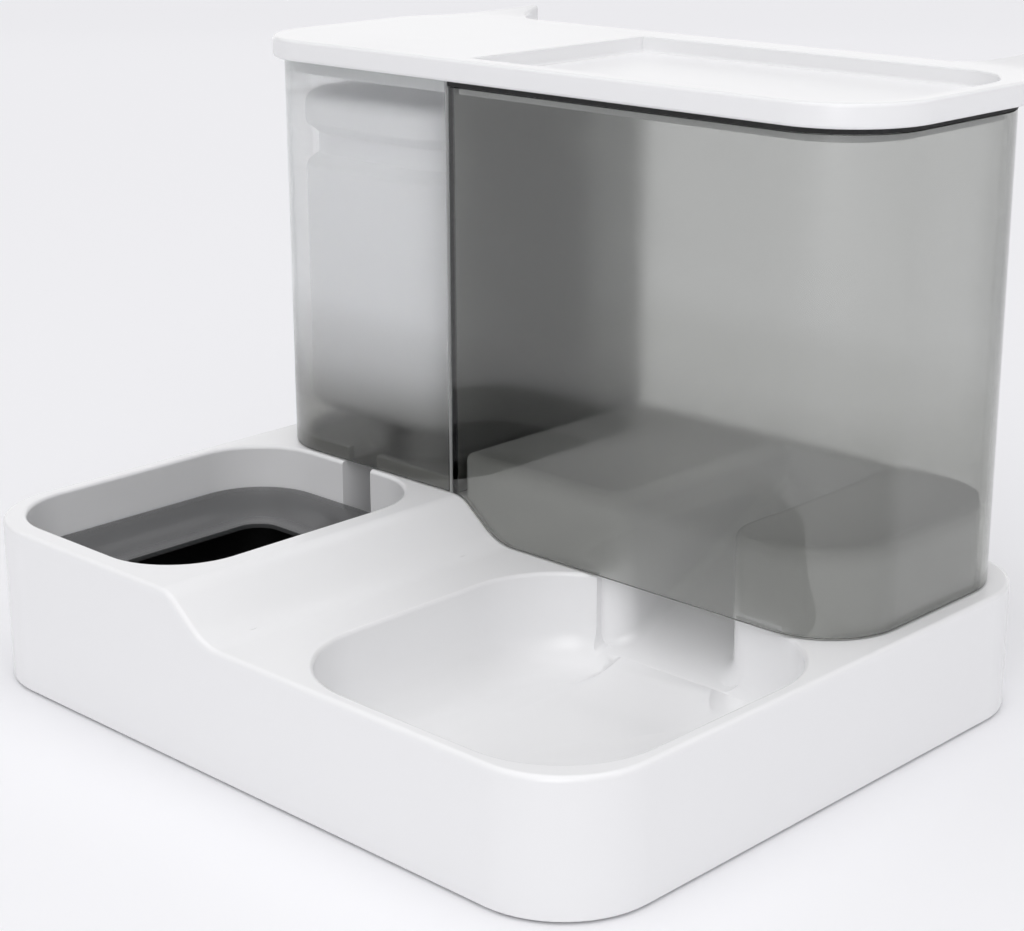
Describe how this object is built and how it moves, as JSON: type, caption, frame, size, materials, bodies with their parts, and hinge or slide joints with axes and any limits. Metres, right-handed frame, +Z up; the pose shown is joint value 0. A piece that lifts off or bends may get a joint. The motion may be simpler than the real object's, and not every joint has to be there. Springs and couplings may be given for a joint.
{
  "type": "gravity pet feeder and waterer",
  "caption": "Pet feeder with a smoke food hopper, an upright water bottle, a lid with ears, and two sunken bowls in one white base.",
  "frame": {"origin": "centre of the whole footprint, ears included, on the floor", "axes": "+X to the right seen from the front, -Y to the front where the bowls are, +Z up"},
  "size_m": [0.3, 0.272, 0.2261],
  "materials": {
    "white_shell": "satin moulded",
    "white_cover": "fine spark texture",
    "foot_rubber": "matt",
    "screw_steel": "zinc plated",
    "smoke_clear": "glossy outside, frosted inside",
    "smoke_light": "glossy outside, frosted inside",
    "smoke_dark": "glossy",
    "seal_rubber": "matt",
    "milky_bottle": "milky, satin",
    "white_cap": "satin",
    "valve_plastic": "satin",
    "float_grey": "high gloss"
  },
  "bodies": {
    "base": {"base_shell": "white_shell", "bottom_cover": "white_cover", "foot_front_left": "foot_rubber", "foot_front_right": "foot_rubber", "foot_back_right": "foot_rubber", "foot_back_left": "foot_rubber", "cover_screw_1": "screw_steel", "cover_screw_2": "screw_steel", "cover_screw_3": "screw_steel", "cover_screw_4": "screw_steel", "cover_screw_5": "screw_steel", "cover_screw_6": "screw_steel"},
    "tank": {"food_hopper": "smoke_clear", "water_shroud": "smoke_light", "divider_wall": "smoke_dark", "rim_seal": "seal_rubber"},
    "lid": {"lid": "white_shell"},
    "bottle": {"water_bottle": "milky_bottle", "valve_cage": "white_cap"},
    "cap": {"bottle_cap": "white_cap", "cap_gasket": "seal_rubber"},
    "valve": {"valve_stem": "valve_plastic", "valve_seal": "seal_rubber", "valve_spring": "screw_steel"},
    "float": {"float_plate": "float_grey"}
  },
  "joints": [
    {"name": "tank_lift", "type": "slide", "parent": "base", "child": "tank", "axis": [0, 0, 1], "range_m": [0, 0.175]},
    {"name": "lid_lift", "type": "slide", "parent": "tank", "child": "lid", "axis": [0, 0, 1], "range_m": [0, 0.12]},
    {"name": "bottle_lift", "type": "slide", "parent": "base", "child": "bottle", "axis": [0, 0, 1], "range_m": [0, 0.003]},
    {"name": "cap_twist", "type": "hinge", "parent": "bottle", "child": "cap", "pos_m": [-0.0898, 0.05485, 0.055], "axis": [0, 0, 1], "range_deg": [0, 360]},
    {"name": "valve_close", "type": "slide", "parent": "bottle", "child": "valve", "axis": [0, 0, -1], "range_m": [0, 0.003], "deforming": ["valve_spring"]},
    {"name": "float_sink", "type": "slide", "parent": "base", "child": "float", "axis": [0, 0, -1], "range_m": [0, 0.0135]}
  ],
  "couplings": [
    {"joint": "valve_close", "follows": "bottle_lift", "ratio": 1}
  ]
}
